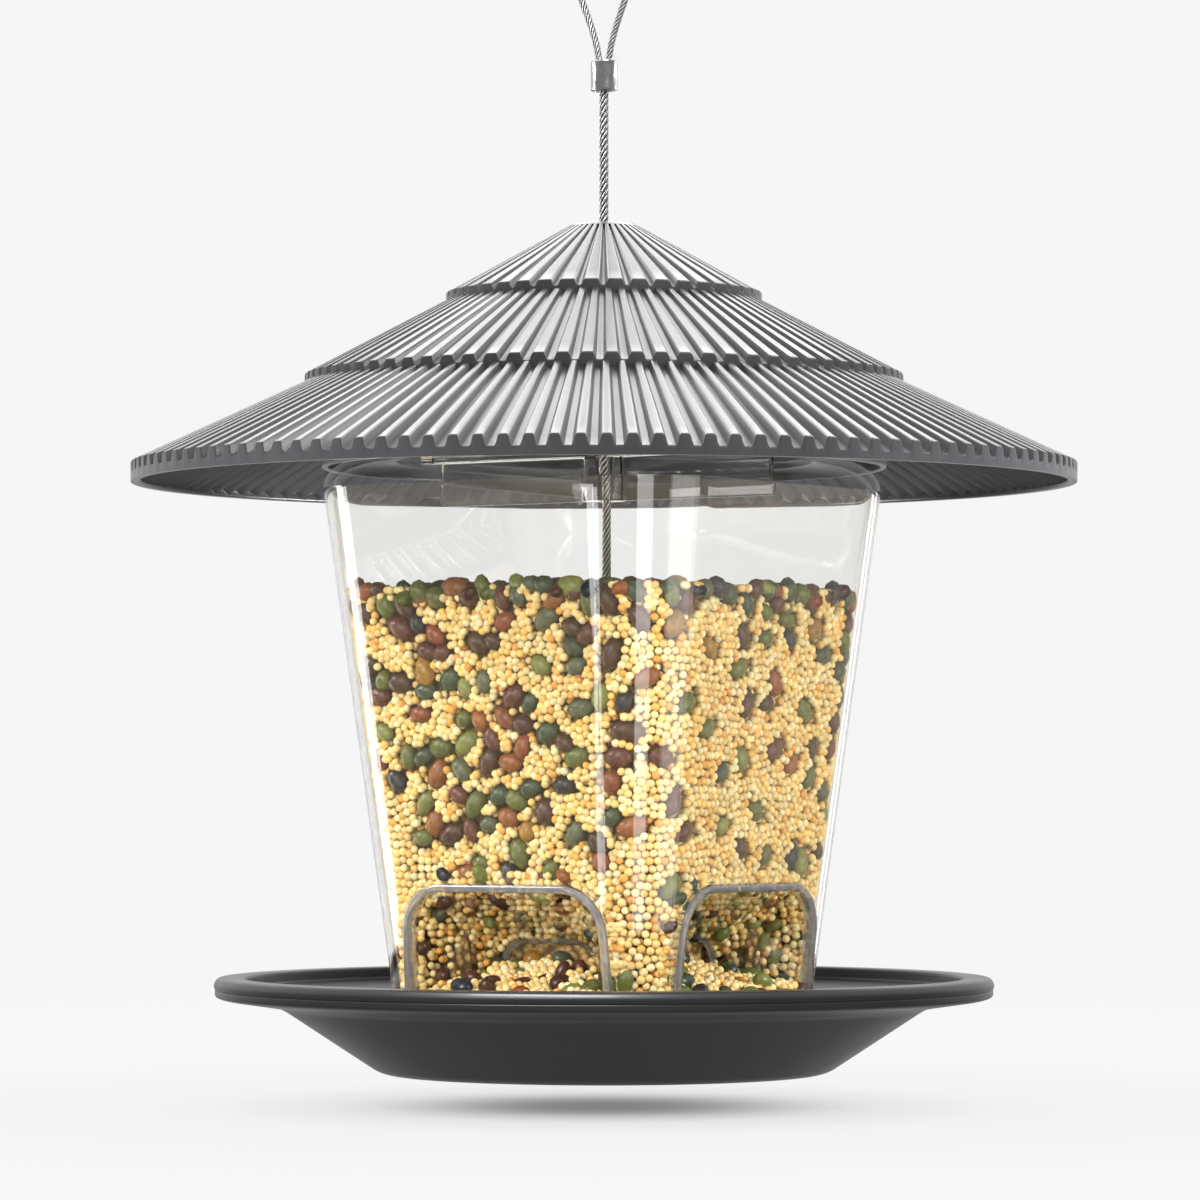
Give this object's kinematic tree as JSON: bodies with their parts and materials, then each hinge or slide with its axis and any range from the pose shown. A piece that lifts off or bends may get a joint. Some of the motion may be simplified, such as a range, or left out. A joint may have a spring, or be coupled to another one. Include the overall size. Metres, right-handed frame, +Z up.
{
  "type": "bird feeder",
  "caption": "Hanging seed feeder with a tiered corrugated roof, a clear tapered hopper, a round dish and a steel cable loop.",
  "frame": {"origin": "top of the hanging loop, where it lies on its hook", "axes": "+Z up along the cable; the hopper's faces look along X and Y, and the loop lies in the XZ plane"},
  "size_m": [0.23, 0.23, 0.286],
  "materials": {
    "roof_plastic": "satin",
    "dish_plastic": "satin",
    "clear_plastic": "clear, polished",
    "bushing_plastic": "matt",
    "steel_rope": "galvanised strands",
    "aluminium_ferrule": "polished",
    "steel_washer": "zinc"
  },
  "bodies": {
    "feeder_body": {"dish": "dish_plastic", "hopper": "clear_plastic", "hopper_bridge": "clear_plastic", "port_hood_front": "clear_plastic", "port_hood_right": "clear_plastic", "port_hood_back": "clear_plastic", "port_hood_left": "clear_plastic", "hanging_cable": "steel_rope", "hanging_loop": "steel_rope", "loop_ferrule": "aluminium_ferrule", "cable_stop": "aluminium_ferrule", "stop_washer": "steel_washer"},
    "roof_slider": {"roof_bushing": "bushing_plastic"},
    "roof_shell": {"roof": "roof_plastic"}
  },
  "joints": [
    {"name": "roof_lift", "type": "slide", "parent": "feeder_body", "child": "roof_slider", "axis": [0, 0, 1], "range_m": [0, 0.032]},
    {"name": "roof_turn", "type": "hinge", "parent": "roof_slider", "child": "roof_shell", "pos_m": [0, 0, -0.0788], "axis": [0, 0, 1], "continuous": true}
  ]
}
